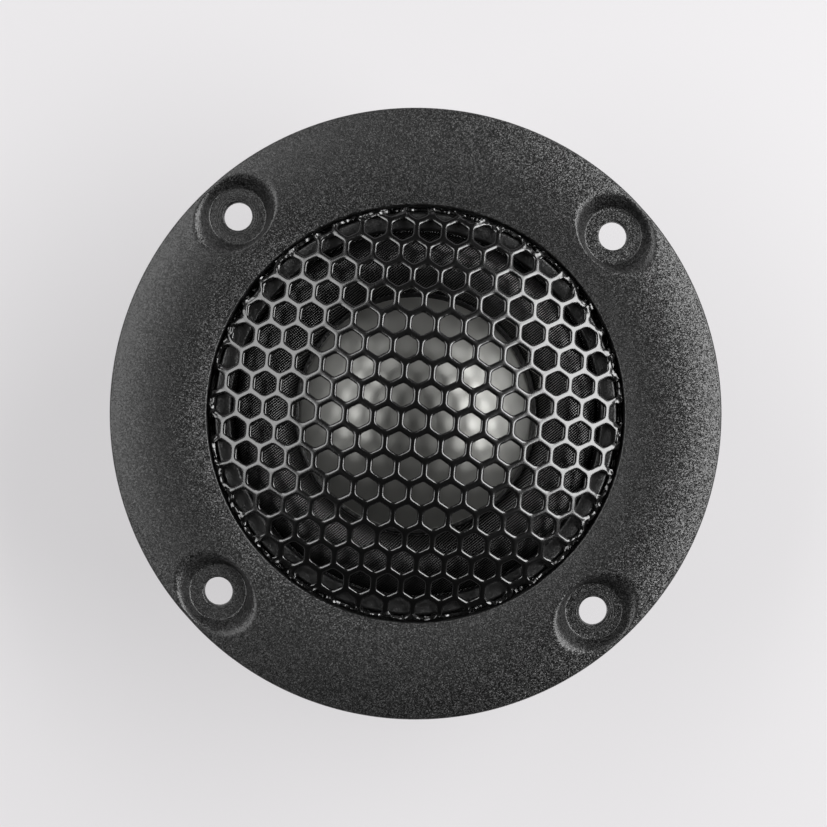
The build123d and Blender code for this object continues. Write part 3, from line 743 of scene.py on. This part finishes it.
def cured_adhesive():
    """Black contact adhesive: glossy and lumpy."""
    material, tree, shader = surface("cured_black_adhesive", "#060606", 0.3, Specular_IOR_Level=0.3)
    place = add(tree, "ShaderNodeTexCoord").outputs["Object"]
    lump = add(tree, "ShaderNodeTexNoise", {"Vector": place, "Scale": 1 / (0.5 * MM), "Detail": 3.0})
    bump = add(tree, "ShaderNodeBump", {"Height": lump.outputs["Fac"], "Strength": 1.0,
                                        "Distance": 0.15 * MM})
    tree.links.new(bump.outputs["Normal"], shader.inputs["Normal"])
    return material


def patterned(name, colour, shade, roughness, metallic, grain, depth,
              stretch=(1, 1, 1), ridges=None, **inputs):
    """A finish with a grain of a real size in millimetres: noise mixes two colours, varies the gloss and
    raises a bump of the given depth. Ridges, where given, are a wave (kind, direction, pitch in mm)."""
    material, tree, shader = surface(name, colour, roughness, metallic, **inputs)
    place = add(tree, "ShaderNodeTexCoord").outputs["Object"]
    drawn = add(tree, "ShaderNodeMapping", {"Vector": place, "Scale": stretch}).outputs["Vector"]
    noise = add(tree, "ShaderNodeTexNoise", {"Vector": drawn, "Scale": 1 / (grain * MM),
                                                "Detail": 1.0 if metallic else 5.0})
    height = noise.outputs["Fac"]
    gloss = add(tree, "ShaderNodeMapRange", {"Value": height, "From Min": 0.3, "From Max": 0.7,
                                             "To Min": 0.8 * roughness, "To Max": min(1, 1.25 * roughness)})
    tree.links.new(gloss.outputs["Result"], shader.inputs["Roughness"])
    # The darker colour lies where the noise, and so the bump, is low: the hollows come out darker.
    mix = add(tree, "ShaderNodeValToRGB", {"Fac": height})
    mix.color_ramp.elements[0].position = 0.35
    mix.color_ramp.elements[0].color = linear(shade)
    mix.color_ramp.elements[1].position = 0.65
    mix.color_ramp.elements[1].color = linear(colour)
    tree.links.new(mix.outputs["Color"], shader.inputs["Base Color"])
    if ridges:
        kind, direction, pitch = ridges
        wave = add(tree, "ShaderNodeTexWave", {"Vector": place, "Scale": math.pi / 10 / (pitch * MM)},
                   wave_type=kind, bands_direction=direction, rings_direction=direction)
        both = add(tree, "ShaderNodeMath", {0: wave.outputs["Fac"], 1: height}, operation="ADD")
        height = both.outputs["Value"]
    bump = add(tree, "ShaderNodeBump", {"Height": height, "Strength": 1.0, "Distance": depth * MM})
    tree.links.new(bump.outputs["Normal"], shader.inputs["Normal"])
    return material


def inner_finishes():
    """The finish of each material slot behind the front, by slot."""
    return {
        # rolled foil: bright, with faint streaks along the tube
        "coil_former_foil": patterned("rolled_aluminium_foil", "#c9cacc", "#a9abae", 0.3, 1.0, 0.6, 0.003,
                                      (1, 1, 0.1)),
        # enamelled wire: orange-red turns lying side by side
        "copper_wire": patterned("enamelled_copper_winding", "#b8693c", "#8f4a26", 0.28, 1.0, 0.5, 0.06,
                                 ridges=("BANDS", "Z", 0.2)),
        # braided tinsel: pale copper strands crossing the lead
        "tinsel_lead": patterned("braided_copper_tinsel", "#c58a5c", "#7c4a2c", 0.38, 1.0, 0.12, 0.03),
        # tinned brass: pale, slightly cloudy metal
        "tinned_brass": patterned("tin_plated_brass", "#cfcbbf", "#b3ad9c", 0.28, 1.0, 0.8, 0.006),
        # zinc plate with a black passivate over turned steel: dark, with fine turning rings
        "black_zinc_steel": patterned("black_passivated_zinc_on_turned_steel", "#2c2d31", "#1e1f22",
                                      0.36, 0.9, 0.5, 0.006, ridges=("RINGS", "Z", 0.22)),
        # bright nickel over a ground magnet: mirror-like, softened by the ground surface below
        "nickel_plating": patterned("nickel_plated_sintered_magnet", "#c3bfb6", "#aeaaa1", 0.2, 1.0, 0.7,
                                    0.004),
        # drawn copper sheet: warm, with streaks from the draw
        "copper_sheet": patterned("drawn_copper_sheet", "#c8784f", "#a8603c", 0.3, 1.0, 0.6, 0.004,
                                  (1, 1, 0.15)),
        # pressed wool felt: matt, mottled and fibrous
        "grey_felt": patterned("pressed_wool_felt", "#6a6a68", "#454543", 0.95, 0.0, 0.35, 0.12, (1, 1, 2.5),
                               Sheen_Weight=0.3),
        # bright zinc on rolled screws: blue-white with light wear
        "zinc_screw_steel": patterned("bright_zinc_plated_steel", "#b9bec6", "#8f959e", 0.3, 1.0, 0.4, 0.008),
        # moulded ABS: charcoal with a fine even spark-eroded grain
        "black_moulded_abs": patterned("spark_textured_black_abs", "#141415", "#0c0c0d", 0.5, 0.0, 0.22,
                                       0.02),
        # closed-cell foam: matt black with small pits
        "foam_rubber": patterned("closed_cell_neoprene_foam", "#1a1a1b", "#080808", 0.9, 0.0, 0.25, 0.08),
        # polyester wadding: soft white fibres, the hollows painted grey as painted shade
        "white_wadding": patterned("bonded_polyester_wadding", "#e4e3de", "#a9a8a3", 1.0, 0.0, 0.7, 0.5,
                                   (1, 1, 2),
                                   Sheen_Weight=0.4),
        # black oxide on machine screws: nearly black with a slight oily gloss
        "black_screw_steel": patterned("black_oxide_steel", "#1d1e20", "#0f1011", 0.34, 0.9, 0.4, 0.008),
        # paper laminate: warm brown with a faint woven look
        "terminal_laminate": patterned("phenolic_paper_laminate", "#4a2e1a", "#35200f", 0.42, 0.0, 0.5, 0.01,
                                       (1, 1, 0.3)),
        # plain brass rivets: yellow, dulled by handling
        "rivet_brass": patterned("rolled_brass", "#c6a258", "#a3803d", 0.3, 1.0, 0.5, 0.006),
        # PVC insulation: saturated red, waxy gloss
        "red_insulation": patterned("red_pvc_insulation", "#a3161a", "#8a1013", 0.36, 0.0, 0.6, 0.01),
        # PVC insulation: black, waxy gloss
        "black_insulation": patterned("black_pvc_insulation", "#161617", "#0d0d0e", 0.36, 0.0, 0.6, 0.01),
        # tin solder: bright, with a frozen, slightly lumpy surface
        "solder": patterned("tin_solder", "#c4c5c8", "#9fa1a5", 0.26, 1.0, 0.5, 0.05),
    }


# ---------------------------------------------------------------- stage
def floor_and_light():
    """Pale floor under the rear chamber, a softbox each side and a pale wall round a dark ceiling."""
    size = 1.5
    z = CAD_BOX[0][2] - 0.05 * MM
    mesh = bpy.data.meshes.new("floor")
    corners = [(-size, -size, z), (size, -size, z), (size, size, z), (-size, size, z)]
    mesh.from_pydata(corners, [], [(0, 1, 2, 3)])
    floor = bpy.data.objects.new("floor", mesh)
    bpy.context.scene.collection.objects.link(floor)
    material, tree, shader = surface("pale_backlit_acrylic", "#7c7b7c", 0.6)
    shader.inputs["Emission Color"].default_value = linear("#f0eef0")
    shader.inputs["Emission Strength"].default_value = 0.54
    mesh.materials.append(material)
    softbox("left_softbox", azimuth=180, tilt=43, width=0.25, height=0.60, lift=0.09, watts=2.5)
    softbox("right_softbox", azimuth=0, tilt=47, width=0.25, height=0.60, lift=0.09, watts=5.0)
    world = bpy.data.worlds.new("studio")
    bpy.context.scene.world = world
    world.use_nodes = True
    tree = world.node_tree
    direction = add(tree, "ShaderNodeTexCoord").outputs["Generated"]
    parts = add(tree, "ShaderNodeSeparateXYZ", {"Vector": direction})
    lean = add(tree, "ShaderNodeMath", {0: parts.outputs["Y"], 1: -0.13, 2: parts.outputs["Z"]},
               operation="MULTIPLY_ADD").outputs["Value"]
    ramp = add(tree, "ShaderNodeValToRGB", {"Fac": lean})
    ramp.color_ramp.elements[0].position = 0.08
    ramp.color_ramp.elements[0].color = linear("#d8d6d8")
    ramp.color_ramp.elements[1].position = 0.25
    ramp.color_ramp.elements[1].color = linear("#0a0909")
    tree.links.new(ramp.outputs["Color"], tree.nodes["Background"].inputs["Color"])
    tree.nodes["Background"].inputs["Strength"].default_value = 1.3


def softbox(name, azimuth, tilt, width, height, lift, watts):
    """A rectangular light half a metre from the object, tilted from the listening axis."""
    distance = 0.5
    lamp = bpy.data.lights.new(name, "AREA")
    lamp.shape = "RECTANGLE"
    lamp.size = height
    lamp.size_y = width
    lamp.energy = watts
    holder = bpy.data.objects.new(name, lamp)
    across = distance * math.sin(math.radians(tilt))
    turn = math.radians(azimuth)
    up = distance * math.cos(math.radians(tilt))
    holder.location = (across * math.cos(turn), across * math.sin(turn) + lift, up)
    holder.rotation_euler = (-Vector(holder.location)).to_track_quat("-Z", "Y").to_euler()
    holder.visible_camera = False
    bpy.context.scene.collection.objects.link(holder)


def camera():
    """Straight above the front, with the object turned three degrees in the frame."""
    distance = 190 * MM
    seen_width = 97.5 * MM
    camera_data = bpy.data.cameras.new("camera")
    camera_data.sensor_width = 36.0
    camera_data.lens = 36.0 * (distance - 2 * MM) / seen_width
    camera_data.clip_start = 0.005
    holder = bpy.data.objects.new("camera", camera_data)
    holder.location = (-0.25 * MM, 0, distance)
    holder.rotation_euler = (0, 0, math.radians(3.0))
    bpy.context.scene.collection.objects.link(holder)
    bpy.context.scene.camera = holder
    bpy.context.scene.view_settings.view_transform = "Standard"


# ---------------------------------------------------------------- build
def build_front():
    """Faceplate, guard, clamp ring, surround, dome and bead."""
    mesh_piece("crowned_faceplate", *faceplate_mesh(), blasted_black(), "chassis",
               "black_blasted_aluminium", ["faceplate"])
    guard = mesh_piece("hexagon_guard", *guard_mesh(), painted_steel(), "chassis",
                       "black_painted_steel", ["front_grille"])
    close_rims(guard)
    mesh_piece("clamp_ring", *lathe(clamp_profile()), satin_abs(), "chassis",
               "satin_black_abs", ["surround_clamp_ring"])
    mesh_piece("metal_dome", *lathe(dome_profile()), dome_metal(), "diaphragm", "satin_dome_metal", ["dome"])
    mesh_piece("glue_bead", *lathe(bead_profile()), cured_adhesive(), "diaphragm",
               "adhesive", ["dome_glue_bead"])
    roll = mesh_piece("cloth_surround", *lathe(surround_profile(), 360), woven_cloth(), None,
                      "woven_cloth", ["surround"])
    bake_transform(roll)
    weigh_radially(roll)


# name of the piece, its node, its body and its slot
CARRIED = [
    ("coil_former", "voice_coil_former", "diaphragm", "coil_former_foil"),
    ("coil_winding", "voice_coil_winding", "diaphragm", "copper_wire"),
    ("solder_tags", "lead_solder_tags", "chassis", "tinned_brass"),
    ("carrier_ring", "diaphragm_carrier_ring", "chassis", "satin_black_abs"),
    ("gap_plate", "top_plate", "chassis", "black_zinc_steel"),
    ("magnet_ring", "ring_magnet", "chassis", "nickel_plating"),
    ("vented_yoke", "yoke", "chassis", "black_zinc_steel"),
    ("copper_cap", "pole_copper_cap", "chassis", "copper_sheet"),
    ("plate_screws", "motor_screws", "chassis", "zinc_screw_steel"),
    ("chamber_cup", "rear_chamber", "chassis", "black_moulded_abs"),
    ("cup_screws", "chamber_screws", "chassis", "black_screw_steel"),
    ("tab_board", "terminal_board", "chassis", "terminal_laminate"),
    ("wide_tab", "positive_terminal", "chassis", "tinned_brass"),
    ("narrow_tab", "negative_terminal", "chassis", "tinned_brass"),
    ("tab_rivets", "terminal_rivets", "chassis", "rivet_brass"),
    ("red_wire", "internal_wire_positive", "chassis", "red_insulation"),
    ("black_wire", "internal_wire_negative", "chassis", "black_insulation"),
    ("tab_solder", "terminal_solder_joints", "chassis", "solder"),
]


def build_inside():
    """Motor, chamber and wiring: hard parts from their solids, soft parts and leads rebuilt."""
    finishes = inner_finishes()
    finishes["satin_black_abs"] = satin_abs()
    for name, node, body, slot in CARRIED:
        mesh_piece(name, *node_mesh(node), finishes[slot], body, slot, [node])
    # name, node, slot, inner radius, fuzz, seed
    soft = [
        ("felt_pad", "pole_felt_pad", "grey_felt", 4.5, 0.25, 3),
        ("felt_plug", "vent_felt_plug", "grey_felt", 0, 0.2, 5),
        ("wadding_pad", "chamber_wadding", "white_wadding", 0, 0.9, 7),
    ]
    for name, node, slot, inner, fuzz, seed in soft:
        shape = felted_disc(inner, high(node)[0], low(node)[2], high(node)[2], fuzz, seed)
        mesh_piece(name, *shape, finishes[slot], "chassis", slot, [node], sharp=80.0)
    mesh_piece("foam_gasket", *gasket_mesh(), finishes["foam_rubber"], "chassis",
               "foam_rubber", ["chamber_gasket"])
    for name, node in (("positive_lead", "lead_wire_positive"), ("negative_lead", "lead_wire_negative")):
        lead = mesh_piece(name, *lead_mesh(node), finishes["tinsel_lead"], None, "tinsel_lead", [node])
        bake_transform(lead)
        weigh_radially(lead)


def weigh_radially(piece):
    """Reads a piece's points, in millimetres; no weight is set from them."""
    place = np.zeros(len(piece.data.vertices) * 3, np.float32)
    piece.data.vertices.foreach_get("co", place)
    place = place.reshape(-1, 3) / MM


camera()
floor_and_light()
build_front()
build_inside()
